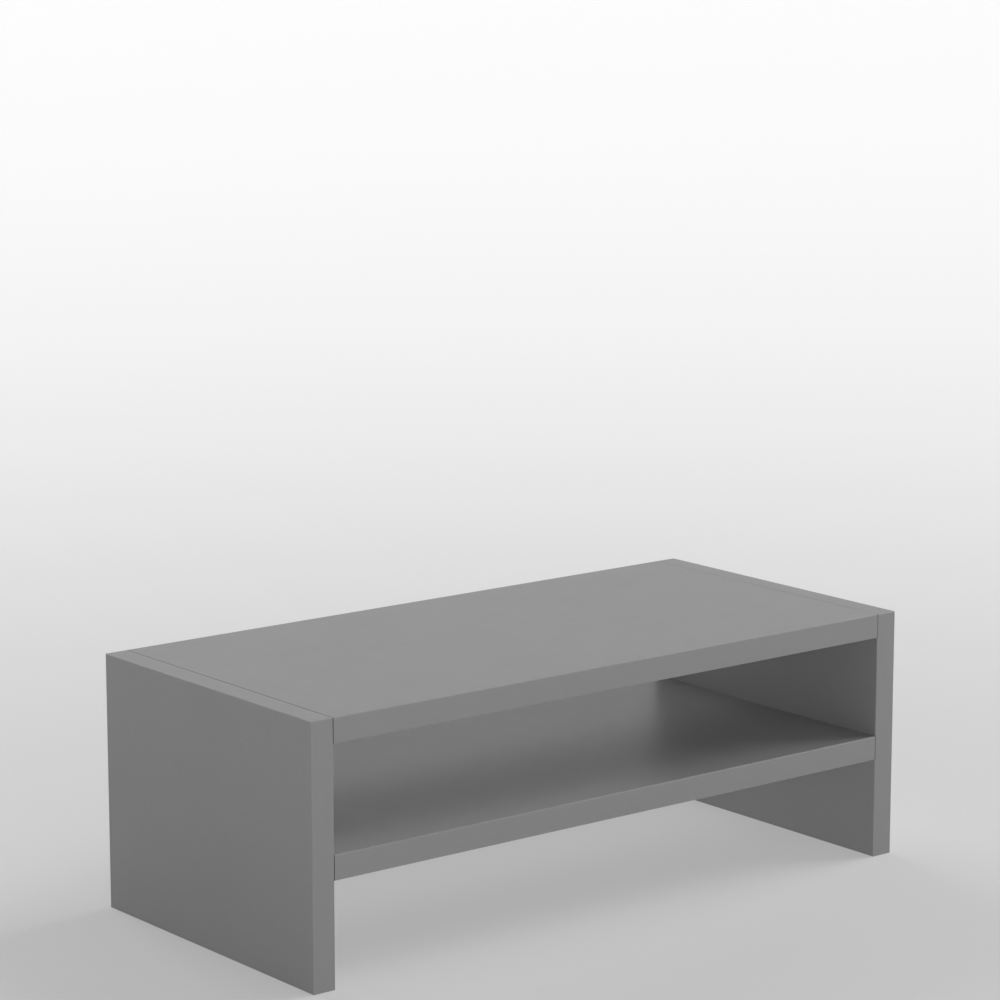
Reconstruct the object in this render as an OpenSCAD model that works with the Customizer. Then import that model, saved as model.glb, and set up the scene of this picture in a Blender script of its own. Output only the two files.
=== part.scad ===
// Monitor riser stand: a top board and a middle shelf let in between two side panels.
// Each of the four butt joints is held by hidden cam fittings and located by dowels.
// The boards are faced chipboard, and every cut edge that stays open carries a band.
//
// Origin: middle of the footprint, on the surface that the stand rests on.
// +X runs along the width to the right, -Y faces the user and +Z points up.

/* [Overall size] */
// Outside width across both side panels
stand_w = 535; // [400:5:800]
// Depth from the front edges to the back edges
stand_d = 250; // [240:5:400]
// Height of the top surface
stand_h = 187; // [140:1:260]

/* [Boards] */
// Thickness of every board
board_t = 18; // [16:1:22]
// How far the shelf sits above the middle of the clear height
shelf_lift = 0; // [-15:1:15]

/* [Edge bands] */
// Thickness of the band glued on each open edge
band_t = 1; // [1:0.5:2]
// Radius of the bands' eased corners
edge_r = 0.8; // [0.2:0.1:1]

/* [Cam fittings] */
// Distance from the front or back edge to the nearest cam fitting
cam_inset = 50; // [40:1:60]
// Distance from a board's end to the middle of its cam locks
cam_reach = 24; // [20:1:34]
// Radius of a cam lock's drum
cam_r = 7.4; // [7:0.1:8]
// How far a cam lock rises above the middle of its board
cam_rise = 4; // [3.8:0.1:5]
// Depth of a cam lock's face below the underside of its board
cam_sink = 0.5; // [0.3:0.1:0.8]
// How deep a cam bolt's thread is screwed into the side panel
bolt_grip = 11; // [8:1:13]

/* [Dowels] */
// Radius of a dowel over its ribs
dowel_r = 4; // [3:0.5:5]
// Length of a dowel
dowel_l = 30; // [25:1:40]
// How deep a dowel goes into the side panel
dowel_grip = 12; // [8:1:13]
// Distance from a dowel to the cam fitting beside it
dowel_pitch = 32; // [24:1:40]

/* [Cover caps] */
// Radius of a cap's disc
cap_r = 8.8; // [8.5:0.1:10]
// Thickness of a cap's disc
cap_t = 1.4; // [1:0.1:2]

/* [Hidden] */
$fn = 48;

// Which side panel, as the sign of its X
LEFT = -1;
RIGHT = 1;
// Which edge of a board, as the sign of its Y or Z
FRONT = -1;
BACK = 1;
BOTTOM = -1;
TOP = 1;

board_grey = [0.47, 0.47, 0.47];
band_grey = [0.50, 0.50, 0.50];
zinc = [0.72, 0.73, 0.74];
steel = [0.62, 0.63, 0.65];
beech = [0.80, 0.64, 0.45];

// Length of the top board and the shelf, which fit between the side panels
inner_w = stand_w - 2 * board_t;
// Depth and height of the chipboard inside the bands
core_d = stand_d - 2 * band_t;
core_h = stand_h - 2 * band_t;
// Heights of the middles of the top board and the shelf
top_z = stand_h - board_t / 2;
shelf_z = (stand_h - board_t) / 2 + shelf_lift;

// Places of the fittings along a joint, the same from the front and from the back
cam_ys = [for (s = [-1, 1]) s * (stand_d / 2 - cam_inset)];
dowel_ys = [for (s = [-1, 1]) s * (stand_d / 2 - cam_inset - dowel_pitch)];

// Gap around a part that is pushed into a bore, and spare depth below it
fit_gap = 0.05;
end_gap = 1;
// How far a cutting shape reaches past the face that it opens
cut = 1;

// Cam bolt, from the thread to the ball that the cam lock pulls on
bolt_r = 2.5;
bolt_root_r = 1.9;
thread_pitch = 1;
bolt_collar_r = 3.4;
bolt_collar_l = 1.5;
bolt_neck_r = 1.9;
bolt_ball_r = 3.2;
bolt_way_r = 4;

// Cam lock: the hollow for the ball, the slot for the neck, and the driver's recess
ball_way_r = 3.5;
neck_slot_h = 4.6;
recess_r = 2.2;
recess_h = 3.2;
recess_slot_l = 9;
recess_slot_w = 1.2;
recess_slot_h = 1.6;

// Cover cap: its chamfer, and the stem that grips the driver's recess
cap_chamfer = 0.5;
stem_r = 2.1;
stem_l = 2.5;

// Ribs of a dowel, and the chamfer at both of its ends
dowel_ribs = 18;
rib_depth = 0.3;
dowel_chamfer = 1;

// ---- Shapes that several parts share ----

// Rectangle centred on the origin with its corners rounded
module eased_rectangle(w, h) {
    square([w - 2 * edge_r, h], center = true);
    square([w, h - 2 * edge_r], center = true);
    for (x = [-1, 1], y = [-1, 1])
        translate([x * (w / 2 - edge_r), y * (h / 2 - edge_r)]) circle(edge_r);
}

// Outside of a banded side panel, with all twelve edges eased
module panel_outside(side) {
    translate([side * (stand_w - board_t) / 2, 0, stand_h / 2]) intersection() {
        linear_extrude(stand_h, center = true) eased_rectangle(board_t, stand_d);
        rotate([90, 0, 0]) linear_extrude(stand_d, center = true) eased_rectangle(board_t, stand_h);
        rotate([90, 0, 90]) linear_extrude(board_t, center = true) eased_rectangle(stand_d, stand_h);
    }
}

// Outside of a banded board between the side panels, with square-cut ends
module board_outside(level_z) {
    translate([0, 0, level_z]) rotate([90, 0, 90])
        linear_extrude(inner_w, center = true) eased_rectangle(stand_d, board_t);
}

// Cylinder along X, from one X to another
module x_rod(r, from_x, to_x) {
    translate([from_x, 0, 0]) rotate([0, 90, 0]) cylinder(r = r, h = to_x - from_x);
}

// Puts its children in the frame of one joint. The frame's origin is on the side panel's
// inner face at the middle of the board, and its +X points along the board.
module at_joint(side, level_z) {
    translate([side * inner_w / 2, 0, level_z]) rotate([0, 0, side == LEFT ? 0 : 180]) children();
}

// Repeats its children at several places along Y
module at_each(ys) {
    for (y = ys) translate([0, y, 0]) children();
}

// ---- Boards ----

// Side panel: blind bores in its inner face take the cam bolts and the dowels
module side_panel(side) {
    color(board_grey) difference() {
        translate([side * (stand_w - board_t) / 2, 0, stand_h / 2])
            cube([board_t, core_d, core_h], center = true);
        for (level_z = [top_z, shelf_z]) at_joint(side, level_z) {
            at_each(cam_ys) x_rod(bolt_r + fit_gap, -bolt_grip - end_gap, cut);
            at_each(dowel_ys) x_rod(dowel_r + fit_gap, -dowel_grip - end_gap, cut);
        }
    }
}

// Top board or shelf: bores in both ends, and cam pockets in the underside
module cross_board(level_z) {
    color(board_grey) difference() {
        translate([0, 0, level_z]) cube([inner_w, core_d, board_t], center = true);
        for (side = [LEFT, RIGHT]) at_joint(side, level_z) {
            at_each(cam_ys) {
                x_rod(bolt_way_r, -cut, cam_reach);
                cam_pocket();
            }
            at_each(dowel_ys) x_rod(dowel_r + fit_gap, -cut, dowel_l - dowel_grip + end_gap);
        }
    }
}

// Room for one cam lock, open at the underside
module cam_pocket() {
    translate([cam_reach, 0, -board_t / 2 - cut])
        cylinder(r = cam_r + fit_gap, h = board_t / 2 + cut + cam_rise + fit_gap);
}

// ---- Edge bands ----

// Front or back band of a side panel, over the panel's full height
module panel_upright_band(side, face) {
    color(band_grey) intersection() {
        panel_outside(side);
        translate([side * (stand_w - board_t) / 2, face * (stand_d - band_t) / 2, stand_h / 2])
            cube([board_t, band_t, stand_h], center = true);
    }
}

// Top or bottom band of a side panel, between the front and back bands
module panel_level_band(side, face) {
    color(band_grey) intersection() {
        panel_outside(side);
        translate([side * (stand_w - board_t) / 2, 0, (stand_h + face * (stand_h - band_t)) / 2])
            cube([board_t, core_d, band_t], center = true);
    }
}

// Front or back band of the top board or the shelf
module cross_band(level_z, face) {
    color(band_grey) intersection() {
        board_outside(level_z);
        translate([0, face * (stand_d - band_t) / 2, level_z])
            cube([inner_w, band_t, board_t], center = true);
    }
}

// ---- Fittings, two of each in every joint ----

// Die-cast cam lock, seen with its axis upright and the bolt arriving from -X
module cam_lock() {
    cam_drop = board_t / 2 - cam_sink;
    difference() {
        translate([0, 0, -cam_drop]) cylinder(r = cam_r, h = cam_drop + cam_rise);
        // Way in for the ball, which ends in the hollow that holds it
        translate([0, -ball_way_r, 0]) rotate([-90, 0, 0]) cylinder(r = ball_way_r, h = cam_r * 2);
        // Quarter-turn slot that the neck runs through as the lock is turned
        translate([-cam_r - cut, -neck_slot_h / 2, -neck_slot_h / 2])
            cube([cam_r + cut, cam_r + cut + neck_slot_h / 2, neck_slot_h]);
        // Recess for the driver, a round hole crossed by two slots
        translate([0, 0, -cam_drop - cut]) {
            cylinder(r = recess_r, h = recess_h + cut);
            for (a = [0, 90]) rotate([0, 0, a])
                translate([-recess_slot_l / 2, -recess_slot_w / 2, 0])
                    cube([recess_slot_l, recess_slot_w, recess_slot_h + cut]);
        }
    }
}

// Outline of the thread: ridges one pitch apart, from the tip at x = 0
function thread_outline(length) = [
    for (i = [0 : floor(length / thread_pitch) - 1])
        each [[bolt_root_r, i * thread_pitch], [bolt_r, (i + 0.5) * thread_pitch]]
];

// Steel cam bolt along X: thread in the side panel, collar on its face, neck and ball
module cam_bolt() {
    translate([-bolt_grip, 0, 0]) rotate([0, 90, 0]) rotate_extrude() polygon(concat(
        [[0, 0]],
        thread_outline(bolt_grip),
        [
            [bolt_root_r, bolt_grip], [bolt_collar_r, bolt_grip],
            [bolt_collar_r, bolt_grip + bolt_collar_l], [bolt_neck_r, bolt_grip + bolt_collar_l],
            [bolt_neck_r, bolt_grip + cam_reach], [0, bolt_grip + cam_reach]
        ]
    ));
    translate([cam_reach, 0, 0]) sphere(bolt_ball_r);
}

// Beech dowel along X, with ribs along its length and chamfered ends
module dowel() {
    ribs = [
        for (i = [0 : 2 * dowel_ribs - 1])
            (dowel_r - (i % 2) * rib_depth) * [cos(i * 180 / dowel_ribs), sin(i * 180 / dowel_ribs)]
    ];
    translate([-dowel_grip, 0, 0]) rotate([0, 90, 0]) intersection() {
        linear_extrude(dowel_l) polygon(ribs);
        rotate_extrude() polygon([
            [0, 0], [dowel_r - dowel_chamfer, 0], [dowel_r + cut, dowel_chamfer + cut],
            [dowel_r + cut, dowel_l - dowel_chamfer - cut], [dowel_r - dowel_chamfer, dowel_l],
            [0, dowel_l]
        ]);
    }
}

// Plastic cap that hides a cam lock, under the board
module cover_cap() {
    translate([0, 0, -board_t / 2]) rotate_extrude() polygon([
        [0, -cap_t], [cap_r - cap_chamfer, -cap_t], [cap_r, cap_chamfer - cap_t], [cap_r, 0],
        [stem_r, 0], [stem_r, stem_l], [0, stem_l]
    ]);
}

module cam_locks(side, level_z) {
    color(zinc) at_joint(side, level_z) at_each(cam_ys) translate([cam_reach, 0, 0]) cam_lock();
}

module cam_bolts(side, level_z) {
    color(steel) at_joint(side, level_z) at_each(cam_ys) cam_bolt();
}

module dowels(side, level_z) {
    color(beech) at_joint(side, level_z) at_each(dowel_ys) dowel();
}

module cover_caps(side, level_z) {
    color(band_grey) at_joint(side, level_z) at_each(cam_ys) translate([cam_reach, 0, 0]) cover_cap();
}

// ---- The whole stand ----

side_panel(LEFT);  // left_side_panel
side_panel(RIGHT);  // right_side_panel
cross_board(top_z);  // top_board
cross_board(shelf_z);  // middle_shelf

panel_upright_band(LEFT, FRONT);  // left_panel_front_band
panel_upright_band(LEFT, BACK);  // left_panel_back_band
panel_level_band(LEFT, TOP);  // left_panel_top_band
panel_level_band(LEFT, BOTTOM);  // left_panel_bottom_band
panel_upright_band(RIGHT, FRONT);  // right_panel_front_band
panel_upright_band(RIGHT, BACK);  // right_panel_back_band
panel_level_band(RIGHT, TOP);  // right_panel_top_band
panel_level_band(RIGHT, BOTTOM);  // right_panel_bottom_band

cross_band(top_z, FRONT);  // top_board_front_band
cross_band(top_z, BACK);  // top_board_back_band
cross_band(shelf_z, FRONT);  // shelf_front_band
cross_band(shelf_z, BACK);  // shelf_back_band

cam_locks(LEFT, top_z);  // top_left_cam_locks
cam_bolts(LEFT, top_z);  // top_left_cam_bolts
dowels(LEFT, top_z);  // top_left_dowels
cover_caps(LEFT, top_z);  // top_left_cover_caps

cam_locks(RIGHT, top_z);  // top_right_cam_locks
cam_bolts(RIGHT, top_z);  // top_right_cam_bolts
dowels(RIGHT, top_z);  // top_right_dowels
cover_caps(RIGHT, top_z);  // top_right_cover_caps

cam_locks(LEFT, shelf_z);  // shelf_left_cam_locks
cam_bolts(LEFT, shelf_z);  // shelf_left_cam_bolts
dowels(LEFT, shelf_z);  // shelf_left_dowels
cover_caps(LEFT, shelf_z);  // shelf_left_cover_caps

cam_locks(RIGHT, shelf_z);  // shelf_right_cam_locks
cam_bolts(RIGHT, shelf_z);  // shelf_right_cam_bolts
dowels(RIGHT, shelf_z);  // shelf_right_dowels
cover_caps(RIGHT, shelf_z);  // shelf_right_cover_caps
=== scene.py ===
"""Looks of the monitor riser stand: materials, fine pieces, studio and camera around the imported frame."""

import math

import bpy
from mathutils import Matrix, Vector


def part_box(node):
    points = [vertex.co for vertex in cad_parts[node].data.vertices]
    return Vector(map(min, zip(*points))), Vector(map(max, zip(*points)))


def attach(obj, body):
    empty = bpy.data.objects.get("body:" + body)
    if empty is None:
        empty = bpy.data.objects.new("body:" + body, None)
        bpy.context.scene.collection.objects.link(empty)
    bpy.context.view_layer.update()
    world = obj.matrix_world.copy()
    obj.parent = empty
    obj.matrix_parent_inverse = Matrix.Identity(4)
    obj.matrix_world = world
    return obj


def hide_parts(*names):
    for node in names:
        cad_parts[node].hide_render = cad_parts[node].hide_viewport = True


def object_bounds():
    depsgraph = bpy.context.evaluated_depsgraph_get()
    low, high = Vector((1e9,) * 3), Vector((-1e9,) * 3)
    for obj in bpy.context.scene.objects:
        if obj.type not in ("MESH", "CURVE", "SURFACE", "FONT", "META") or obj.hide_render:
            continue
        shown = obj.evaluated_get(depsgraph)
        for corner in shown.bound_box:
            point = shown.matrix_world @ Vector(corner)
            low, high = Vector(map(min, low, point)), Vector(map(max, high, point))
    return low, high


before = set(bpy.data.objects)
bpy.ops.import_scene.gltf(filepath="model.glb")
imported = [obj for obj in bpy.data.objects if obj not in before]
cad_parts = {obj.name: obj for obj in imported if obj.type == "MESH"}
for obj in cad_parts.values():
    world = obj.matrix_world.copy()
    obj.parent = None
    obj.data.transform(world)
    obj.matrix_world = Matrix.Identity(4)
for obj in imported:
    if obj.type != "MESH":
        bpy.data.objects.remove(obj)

cad_low, cad_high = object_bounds()
MM = 0.001
X, Y, Z = 0, 1, 2


# ---- Node helpers ----

class Surface:
    """One material with a Principled shader, and short calls that add nodes to it."""

    def __init__(self, name):
        self.material = bpy.data.materials.new(name)
        self.material.use_nodes = True
        self.tree = self.material.node_tree
        self.shader = self.tree.nodes["Principled BSDF"]
        self.place = self.node("ShaderNodeTexCoord").outputs["Object"]

    def node(self, kind, **settings):
        made = self.tree.nodes.new(kind)
        for name, value in settings.items():
            setattr(made, name, value)
        return made

    def feed(self, socket, value):
        """Sets a socket to a plain value, or links another node's output to it."""
        if isinstance(value, bpy.types.NodeSocket):
            self.tree.links.new(value, socket)
        else:
            socket.default_value = value

    def math(self, operation, a, b=0.0):
        made = self.node("ShaderNodeMath", operation=operation)
        self.feed(made.inputs[0], a)
        self.feed(made.inputs[1], b)
        return made.outputs[0]

    def stretched(self, scale):
        """The object's own coordinates, multiplied by one number for each axis."""
        made = self.node("ShaderNodeVectorMath", operation="MULTIPLY")
        self.feed(made.inputs[0], self.place)
        made.inputs[1].default_value = scale
        return made.outputs[0]

    def noise(self, size, detail=2.0, rough=0.5, stretch=(1, 1, 1)):
        """Noise around 0.5, in spots of about size metres, longer along an axis with stretch over 1."""
        made = self.node("ShaderNodeTexNoise")
        self.feed(made.inputs["Vector"], self.stretched([1 / (size * s) for s in stretch]))
        made.inputs["Scale"].default_value = 1.0
        made.inputs["Detail"].default_value = detail
        made.inputs["Roughness"].default_value = rough
        return made.outputs["Fac"]

    def cells(self, size, stretch=(1, 1, 1)):
        """Voronoi cells about size metres across, longer along an axis with stretch over 1."""
        made = self.node("ShaderNodeTexVoronoi")
        self.feed(made.inputs["Vector"], self.stretched([1 / (size * s) for s in stretch]))
        made.inputs["Scale"].default_value = 1.0
        return made

    def spread(self, value, low, high, from_low=0.3, from_high=0.7):
        """Maps a value, by default noise, onto the range from low to high."""
        made = self.node("ShaderNodeMapRange")
        self.feed(made.inputs["Value"], value)
        made.inputs["From Min"].default_value = from_low
        made.inputs["From Max"].default_value = from_high
        made.inputs["To Min"].default_value = low
        made.inputs["To Max"].default_value = high
        return made.outputs["Result"]

    def tones(self, factor, *stops):
        """Colour ramp over (place, colour) stops."""
        made = self.node("ShaderNodeValToRGB")
        ramp = made.color_ramp.elements
        while len(ramp) < len(stops):
            ramp.new(0.5)
        for element, (place, colour) in zip(ramp, stops):
            element.position = place
            element.color = (*colour, 1)
        self.feed(made.inputs["Fac"], factor)
        return made.outputs["Color"]

    def mix(self, factor, a, b, data_type="RGBA"):
        made = self.node("ShaderNodeMix", data_type=data_type)
        inputs = [s for s in made.inputs if s.enabled]
        self.feed(inputs[0], factor)
        self.feed(inputs[1], a)
        self.feed(inputs[2], b)
        return [s for s in made.outputs if s.enabled][0]

    def bump(self, height, depth):
        """Bump from a 0 to 1 height that stands for depth metres."""
        made = self.node("ShaderNodeBump")
        made.inputs["Strength"].default_value = 1.0
        made.inputs["Distance"].default_value = depth
        self.feed(made.inputs["Height"], height)
        return made.outputs["Normal"]

    def finish(self, colour, roughness, normal, **values):
        """Feeds the shader and gives back the material."""
        self.feed(self.shader.inputs["Base Color"], colour)
        self.feed(self.shader.inputs["Roughness"], roughness)
        self.feed(self.shader.inputs["Normal"], normal)
        for name, value in values.items():
            self.shader.inputs[name.replace("_", " ")].default_value = value
        return self.material


def grey(value):
    return (value, value, value)


# ---- Materials ----

BOARD_GREY = 0.29
# Size of the pearl finish's spots, and their share of the colour's variation beside the wide clouds
PEARL_SIZE = 0.9 * MM
PEARL_SHARE = 0.8
LAMINATE_T = 0.3 * MM
# Depth that a bump height of 1 stands for, on the boards and their bands
RELIEF = 0.2 * MM
# Largest part of the unit normal well round an eased corner, and where the flat face starts
CORNER_NORMAL = 0.85
FLAT_NORMAL = 0.995
# How many times lighter than the flat face an eased corner is made, a painted highlight
CORNER_PAINTED_HIGHLIGHT = 1.16
# How dark the painted shade in the joints' grooves is, and the share of their width that is shaded in full
GROOVE_SHADE = 0.65
GROOVE_CORE = 0.6


def pearl_grey(s, cloud_size, contrast):
    """Board grey with the fine mottling of a pearl finish, over wide and faint clouds."""
    cloud = s.noise(cloud_size, detail=3)
    pearl = s.noise(PEARL_SIZE, detail=3, rough=0.6)
    return s.tones(
        s.spread(s.mix(PEARL_SHARE, cloud, pearl, "FLOAT"), 0, 1),
        (0, grey(BOARD_GREY * (1 - contrast))),
        (1, grey(BOARD_GREY * (1 + contrast))),
    )


def faced_board(name, axis, low, high):
    """Chipboard between two melamine faces, which lie at low and at high along axis."""
    s = Surface(name)
    at = s.node("ShaderNodeSeparateXYZ")
    s.feed(at.inputs[0], s.place)
    from_middle = s.math("ABSOLUTE", s.math("SUBTRACT", at.outputs[axis], (low + high) / 2))
    laminate = s.math("GREATER_THAN", from_middle, (high - low) / 2 - LAMINATE_T)

    face_colour = pearl_grey(s, 60 * MM, 0.07)
    chips = s.cells(2.5 * MM, stretch=(1, 1, 0.5))
    chip_colour = s.tones(
        chips.outputs["Color"],
        (0, (0.12, 0.085, 0.055)),
        (0.5, (0.21, 0.155, 0.10)),
        (1, (0.30, 0.23, 0.155)),
    )
    colour = s.mix(laminate, chip_colour, face_colour)

    sheen = s.spread(s.noise(14 * MM, detail=4), 0.43, 0.46)
    roughness = s.mix(laminate, 0.85, sheen, "FLOAT")

    grain = s.noise(0.45 * MM, detail=3, rough=0.6)
    pores = s.noise(1.6 * MM, detail=1)
    face_height = s.math("ADD", s.math("MULTIPLY", grain, 0.09), s.math("MULTIPLY", pores, 0.05))
    chip_height = s.math("SUBTRACT", 1.0, chips.outputs["Distance"])
    height = s.mix(laminate, chip_height, face_height, "FLOAT")
    return s.finish(colour, roughness, s.bump(height, RELIEF), Specular_IOR_Level=0.5)


def groove(s, width):
    """Share of painted shade beside the joints between the panels and the cross boards' ends.

    It is 1 at a joint and falls to 0 at width from it.
    """
    joint_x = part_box("top_board")[1].x
    at = s.node("ShaderNodeSeparateXYZ")
    s.feed(at.inputs[0], s.place)
    off_joint = s.math("ABSOLUTE", s.math("SUBTRACT", s.math("ABSOLUTE", at.outputs[X]), joint_x))
    beside_board = 0.0
    for board in ("top_board", "middle_shelf"):
        low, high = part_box(board)
        off_middle = s.math("ABSOLUTE", s.math("SUBTRACT", at.outputs[Z], (low.z + high.z) / 2))
        beside_board = s.math("ADD", s.math("LESS_THAN", off_middle, (high.z - low.z) / 2), beside_board)
    return s.math("MULTIPLY", s.spread(off_joint, 1, 0, GROOVE_CORE * width, width), beside_board)


def edge_band(name, along, groove_w):
    """Plastic edge band with polished, glossier corners, which a painted highlight also makes lighter, and
    fine lengthwise marks, which its trimming scraper leaves.

    along is the band's axis, and groove_w is how far the joints' painted shade reaches over it.
    """
    s = Surface(name)
    stretch = [1, 1, 1]
    stretch[along] = 60
    streaks = s.noise(0.25 * MM, detail=2, stretch=stretch)
    flat_colour = pearl_grey(s, 30 * MM, 0.05)
    facing = s.node("ShaderNodeVectorMath", operation="ABSOLUTE")
    s.feed(facing.inputs[0], s.node("ShaderNodeNewGeometry").outputs["Normal"])
    parts = s.node("ShaderNodeSeparateXYZ")
    s.feed(parts.inputs[0], facing.outputs[0])
    flatness = s.math("MAXIMUM", s.math("MAXIMUM", parts.outputs[X], parts.outputs[Y]), parts.outputs[Z])
    corner = s.spread(flatness, 1, 0, CORNER_NORMAL, FLAT_NORMAL)
    # Painted highlight: the eased corners are lighter than the flat face
    colour_with_painted_highlight = s.mix(corner, flat_colour, (*grey(BOARD_GREY * CORNER_PAINTED_HIGHLIGHT), 1))
    # Painted shade: the joints' grooves are darkened towards black
    colour = s.mix(s.math("MULTIPLY", groove(s, groove_w), GROOVE_SHADE), colour_with_painted_highlight, (0, 0, 0, 1))
    sheen = s.spread(s.noise(8 * MM, detail=3), 0.42, 0.46)
    roughness = s.math("SUBTRACT", sheen, s.math("MULTIPLY", corner, 0.06))
    orange_peel = s.noise(1.2 * MM, detail=1)
    height = s.math("ADD", s.math("MULTIPLY", streaks, 0.06), s.math("MULTIPLY", orange_peel, 0.07))
    return s.finish(colour, roughness, s.bump(height, RELIEF), Specular_IOR_Level=0.5)


def cast_zinc():
    """Die-cast zinc: satin, slightly pitted, dull in patches."""
    s = Surface("cam_zinc")
    patches = s.noise(3 * MM, detail=4)
    colour = s.tones(s.spread(patches, 0, 1), (0, grey(0.36)), (1, (0.52, 0.52, 0.54)))
    roughness = s.spread(patches, 0.5, 0.32)
    pits = s.noise(0.35 * MM, detail=3)
    return s.finish(colour, roughness, s.bump(pits, 0.02 * MM), Metallic=1.0)


def turned_steel():
    """Zinc-plated steel with turning marks round the bolt's axis, which is X."""
    s = Surface("bolt_steel")
    rings = s.noise(0.12 * MM, detail=2, stretch=(1, 40, 40))
    tint = s.noise(5 * MM, detail=3)
    colour = s.tones(s.spread(tint, 0, 1), (0, (0.50, 0.50, 0.47)), (1, (0.60, 0.61, 0.63)))
    roughness = s.spread(rings, 0.2, 0.34)
    return s.finish(colour, roughness, s.bump(rings, 0.01 * MM), Metallic=1.0)


def beech():
    """Beech with its grain along X and short darker flecks."""
    s = Surface("dowel_beech")
    grain = s.noise(0.7 * MM, detail=4, stretch=(25, 1, 1))
    flecks = s.cells(1.1 * MM, stretch=(3, 1, 1))
    wood = s.tones(
        s.spread(grain, 0, 1),
        (0, (0.48, 0.29, 0.15)),
        (0.6, (0.62, 0.41, 0.23)),
        (1, (0.70, 0.49, 0.30)),
    )
    fleck = s.math("LESS_THAN", flecks.outputs["Distance"], 0.16)
    colour = s.mix(s.math("MULTIPLY", fleck, 0.6), wood, (0.36, 0.19, 0.09, 1))
    roughness = s.spread(grain, 0.55, 0.7)
    return s.finish(colour, roughness, s.bump(grain, 0.05 * MM))


def moulded_plastic():
    """Matt moulded plastic of the cover caps."""
    s = Surface("cap_plastic")
    cloud = s.noise(6 * MM, detail=3)
    colour = s.tones(
        s.spread(cloud, 0, 1),
        (0, grey(BOARD_GREY * 0.93)),
        (1, grey(BOARD_GREY * 0.97)),
    )
    spark = s.noise(0.2 * MM, detail=2)
    return s.finish(colour, s.spread(spark, 0.42, 0.55), s.bump(spark, 0.015 * MM))


def give(material, *nodes):
    """Puts one material on each of these CAD nodes."""
    for name in nodes:
        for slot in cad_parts[name].material_slots:
            slot.material = material


def dress_boards():
    for name, axis in (
        ("left_side_panel", X),
        ("right_side_panel", X),
        ("top_board", Z),
        ("middle_shelf", Z),
    ):
        low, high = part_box(name)
        give(faced_board(name + "_board", axis, low[axis], high[axis]), name)


def dress_bands():
    upright = edge_band("edge_band_z", Z, 0.6 * MM)
    level = edge_band("edge_band_y", Y, 0.4 * MM)
    cross = edge_band("edge_band_x", X, 0.3 * MM)
    for side in ("left", "right"):
        give(upright, f"{side}_panel_front_band", f"{side}_panel_back_band")
        give(level, f"{side}_panel_top_band", f"{side}_panel_bottom_band")
    for board in ("top_board", "shelf"):
        give(cross, f"{board}_front_band", f"{board}_back_band")


def dress_fittings():
    """Gives the small parts their materials, the bolts' CAD nodes too, which add_bolts then replaces."""
    steel = turned_steel()
    materials = {
        "cam_locks": cast_zinc(),
        "cam_bolts": steel,
        "dowels": beech(),
        "cover_caps": moulded_plastic(),
    }
    for board in ("top", "shelf"):
        for side in ("left", "right"):
            for kind, material in materials.items():
                give(material, f"{board}_{side}_{kind}")
    add_bolts(steel)


# ---- Cam bolts with a true helical thread ----

TURN_STEPS = 24
THREAD_PITCH = 2.4 * MM
RING_GAP = THREAD_PITCH / TURN_STEPS
# The rings left out at the tip make its chamfer
TIP_RINGS = 4
THREAD_R = 2.5 * MM
ROOT_R = 1.75 * MM
TIP_R = 0.7 * ROOT_R
RIDGE_HALF_W = 0.45 * MM
THREAD_L = 11 * MM
COLLAR_R = 3.4 * MM
COLLAR_L = 1.5 * MM
COLLAR_BEVEL = 0.25 * MM
NECK_R = 1.9 * MM
BALL_R = 3.2 * MM
BALL_STEPS = 14
DRIVE_R = 1.5 * MM
DRIVE_HALF_W = 0.3 * MM
DRIVE_DEPTH = 1.6 * MM
DRIVE_TAPER = 0.5
FLAT_R = 1.25 * DRIVE_R


def thread_radius(x, turn):
    """Radius at x and at a share of a turn. The ridge runs out over the first and the last pitch."""
    off = (x / THREAD_PITCH - turn) % 1.0
    off_ridge = min(off, 1.0 - off) * THREAD_PITCH
    ridge = max(0.0, 1.0 - off_ridge / RIDGE_HALF_W)
    run_out = min(1.0, x / THREAD_PITCH, (THREAD_L - x) / THREAD_PITCH)
    return ROOT_R + (THREAD_R - ROOT_R) * ridge * run_out


def drive_radius(turn):
    """Outline of the cross recess for the screwdriver."""
    off_arm = math.tau * ((turn + 0.125) % 0.25 - 0.125)
    return min(DRIVE_R, DRIVE_HALF_W / max(abs(math.sin(off_arm)), 0.01))


def bolt_rings(length):
    """Rings of a bolt from its tip to its ball, each a place along it and its radius at each step."""
    turns = [i / TURN_STEPS for i in range(TURN_STEPS)]
    collar_end = THREAD_L + COLLAR_L
    middle = length - BALL_R
    from_neck = math.pi - math.asin(NECK_R / BALL_R)
    to_flat = math.asin(FLAT_R / BALL_R)

    def round_ring(x, r):
        return x, [r] * TURN_STEPS

    rings = [round_ring(0.0, TIP_R)]
    for i in range(TIP_RINGS, round(THREAD_L / RING_GAP) - 1):
        x = i * RING_GAP
        rings.append((x, [thread_radius(x, t) for t in turns]))
    rings += [
        round_ring(THREAD_L, ROOT_R),
        round_ring(THREAD_L, COLLAR_R - COLLAR_BEVEL),
        round_ring(THREAD_L + COLLAR_BEVEL, COLLAR_R),
        round_ring(collar_end - COLLAR_BEVEL, COLLAR_R),
        round_ring(collar_end, COLLAR_R - COLLAR_BEVEL),
        round_ring(collar_end, NECK_R + COLLAR_BEVEL),
        round_ring(collar_end + COLLAR_BEVEL, NECK_R),
    ]
    for i in range(BALL_STEPS + 1):
        a = from_neck + (to_flat - from_neck) * i / BALL_STEPS
        rings.append(round_ring(middle + BALL_R * math.cos(a), BALL_R * math.sin(a)))
    flat = rings[-1][0]
    rings.append((flat, [drive_radius(t) for t in turns]))
    rings.append((flat - DRIVE_DEPTH, [DRIVE_TAPER * drive_radius(t) for t in turns]))
    return rings


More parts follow.
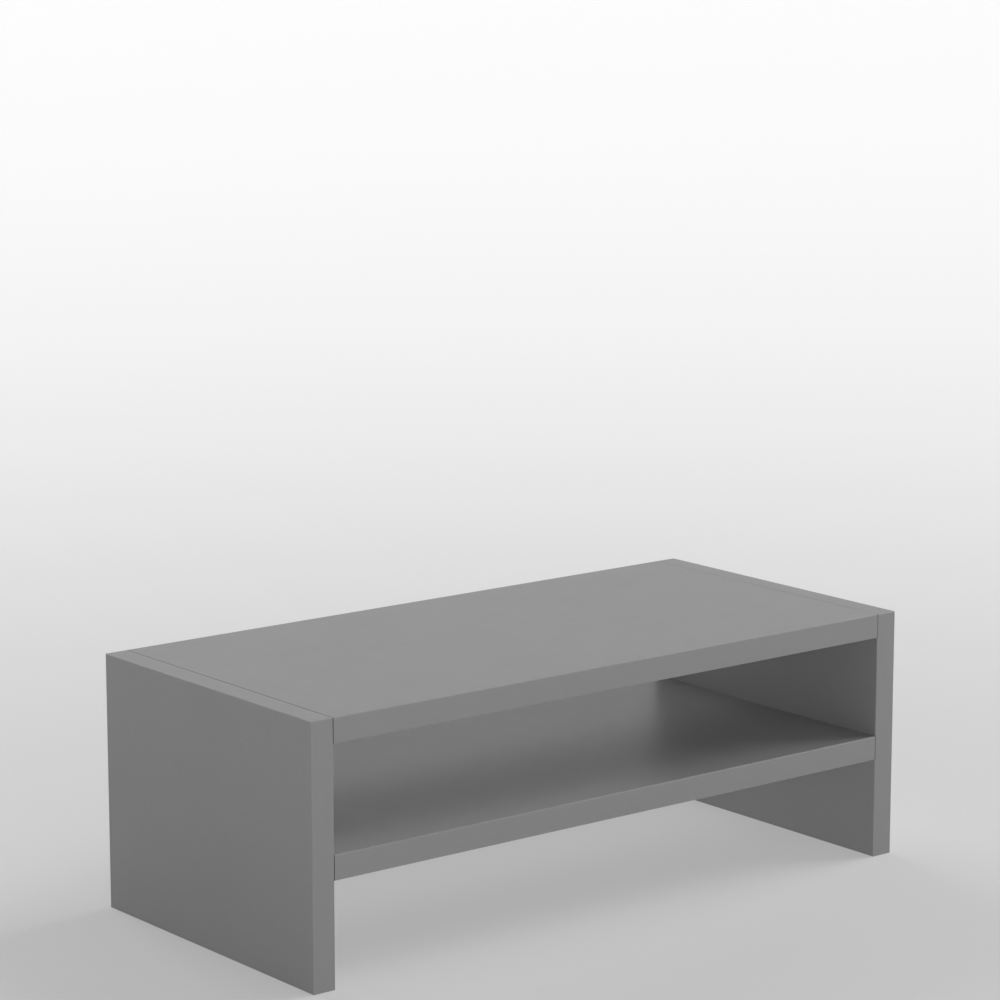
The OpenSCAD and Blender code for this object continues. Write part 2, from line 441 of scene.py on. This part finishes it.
def ringed_body(rings, origin, sign):
    """Corners and triangles of a closed body round X. The triangles' long sides follow the thread."""
    points = [origin + Vector((sign * rings[0][0], 0, 0))]
    for x, radii in rings:
        for i, r in enumerate(radii):
            a = math.tau * i / TURN_STEPS
            points.append(origin + Vector((sign * x, sign * r * math.cos(a), r * math.sin(a))))
    points.append(origin + Vector((sign * rings[-1][0], 0, 0)))
    last = len(points) - 1
    faces = []
    for i in range(TURN_STEPS):
        j = (i + 1) % TURN_STEPS
        faces += [(0, 1 + j, 1 + i), (last, last - TURN_STEPS + i, last - TURN_STEPS + j)]
        for k in range(len(rings) - 1):
            here = 1 + k * TURN_STEPS
            there = here + TURN_STEPS
            faces += [(here + i, here + j, there + j), (here + i, there + j, there + i)]
    return points, faces


def add_bolts(material):
    """One piece for each pair of cam bolts, in place of the CAD node with its plain rings."""
    for board in ("top", "shelf"):
        for side, sign in (("left", 1), ("right", -1)):
            node = f"{board}_{side}_cam_bolts"
            low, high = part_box(node)
            tip = low.x if sign > 0 else high.x
            rings = bolt_rings(high.x - low.x)
            points, faces = [], []
            for y in (low.y + COLLAR_R, high.y - COLLAR_R):
                more, sides = ringed_body(rings, Vector((tip, y, (low.z + high.z) / 2)), sign)
                faces += [[i + len(points) for i in side] for side in sides]
                points += more
            mesh = bpy.data.meshes.new(f"{board}_{side}_threaded_bolts")
            mesh.from_pydata(points, [], faces)
            mesh.shade_smooth()
            mesh.set_sharp_from_angle(angle=math.radians(35))
            mesh.materials.append(material)
            bolts = bpy.data.objects.new(mesh.name, mesh)
            bpy.context.scene.collection.objects.link(bolts)
            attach(bolts, "root")
            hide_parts(node)


# ---- Studio ----

FLOOR_HALF = 60.0
FLOOR_PAPER = 0.40
# The floor's glow at the stand, what it gains far away, and how far away it has gained half of that
GLOW_NEAR = 0.30
GLOW_RISE = 0.35
GLOW_HALF_WAY = 1.5
# Degrees over the horizon where the white band starts to fade, and where it ends
SKY_BAND_FULL = 7
SKY_BAND_END = 16
# Where the camera stands, its turn to the right of +Y and its tilt down in degrees, and its lens
CAMERA_PLACE = (-1.5640, -1.9500, 0.7578)
CAMERA_TURN = 38.554
CAMERA_TILT = 10.723
CAMERA_LENS = 126.9


def add_floor():
    """Pale floor that glows like a backlit sweep, more so with the distance from the stand: a painted glow,
    dimmest at the stand, where it makes a painted pool of shade.
    """
    mesh = bpy.data.meshes.new("floor")
    corners = [(x * FLOOR_HALF, y * FLOOR_HALF, cad_low.z) for x, y in ((-1, -1), (1, -1), (1, 1), (-1, 1))]
    mesh.from_pydata(corners, [], [(0, 1, 2, 3)])
    floor = bpy.data.objects.new("floor", mesh)
    bpy.context.scene.collection.objects.link(floor)
    s = Surface("floor_white")
    product = s.node("ShaderNodeVectorMath", operation="DOT_PRODUCT")
    s.feed(product.inputs[0], s.place)
    s.feed(product.inputs[1], s.place)
    squared = product.outputs["Value"]
    # Painted glow, dimmest at the stand, where it leaves a painted pool of shade round it
    share = s.math("DIVIDE", squared, s.math("ADD", squared, GLOW_HALF_WAY ** 2))
    glow = s.math("ADD", s.math("MULTIPLY", share, GLOW_RISE), GLOW_NEAR)
    s.feed(s.shader.inputs["Emission Strength"], glow)
    paper = s.noise(3 * MM)
    colour = s.tones(s.spread(paper, 0, 1), (0, grey(FLOOR_PAPER * 0.99)), (1, grey(FLOOR_PAPER * 1.01)))
    mesh.materials.append(s.finish(colour, 0.9, s.bump(paper, 0.01 * MM), Emission_Color=(1, 1, 1, 1)))


def add_sky():
    """White band round the horizon, which fades out above SKY_BAND_FULL degrees."""
    world = bpy.data.worlds.new("studio")
    world.use_nodes = True
    tree = world.node_tree
    direction = tree.nodes.new("ShaderNodeTexCoord")
    height = tree.nodes.new("ShaderNodeSeparateXYZ")
    fade = tree.nodes.new("ShaderNodeMapRange")
    fade.interpolation_type = "SMOOTHSTEP"
    fade.inputs["From Min"].default_value = math.sin(math.radians(SKY_BAND_FULL))
    fade.inputs["From Max"].default_value = math.sin(math.radians(SKY_BAND_END))
    fade.inputs["To Min"].default_value = 1.0
    fade.inputs["To Max"].default_value = 0.0
    background = tree.nodes["Background"]
    background.inputs["Color"].default_value = (1, 1, 1, 1)
    tree.links.new(direction.outputs["Generated"], height.inputs[0])
    tree.links.new(height.outputs["Z"], fade.inputs["Value"])
    tree.links.new(fade.outputs["Result"], background.inputs["Strength"])
    bpy.context.scene.world = world


def add_wide_light(name, azimuth, elevation, width, strength):
    """Distant soft light, width degrees across. Azimuth 0 is in front, and it grows towards +X."""
    light = bpy.data.lights.new(name, "SUN")
    light.angle = math.radians(width)
    light.energy = strength * math.pi
    lamp = bpy.data.objects.new(name, light)
    turn, rise = math.radians(azimuth), math.radians(elevation)
    towards = Vector((math.sin(turn) * math.cos(rise), -math.cos(turn) * math.cos(rise), math.sin(rise)))
    lamp.rotation_euler = towards.to_track_quat("Z", "Y").to_euler()
    bpy.context.scene.collection.objects.link(lamp)


def add_lights():
    add_wide_light("front_high_light", 0, 45, 60, 0.138)
    add_wide_light("left_front_fill", -40, 11, 20, 0.045)
    add_wide_light("right_side_light", 80, 35, 40, 0.60)
    add_wide_light("back_right_light", 135, 20, 40, 0.078)
    add_wide_light("back_light", 180, 20, 40, 0.46)


def add_camera():
    """Long lens to the left of the stand and above it, level across the frame."""
    data = bpy.data.cameras.new("camera")
    data.sensor_width = 36
    data.lens = CAMERA_LENS
    data.clip_start = 0.1
    data.clip_end = 100
    camera = bpy.data.objects.new("camera", data)
    camera.location = CAMERA_PLACE
    camera.rotation_euler = (math.radians(90 - CAMERA_TILT), 0, math.radians(-CAMERA_TURN))
    bpy.context.scene.collection.objects.link(camera)
    bpy.context.scene.camera = camera


# ---- The scene ----

dress_boards()
dress_bands()
dress_fittings()
add_floor()
add_sky()
add_lights()
add_camera()
bpy.context.scene.view_settings.view_transform = "Standard"
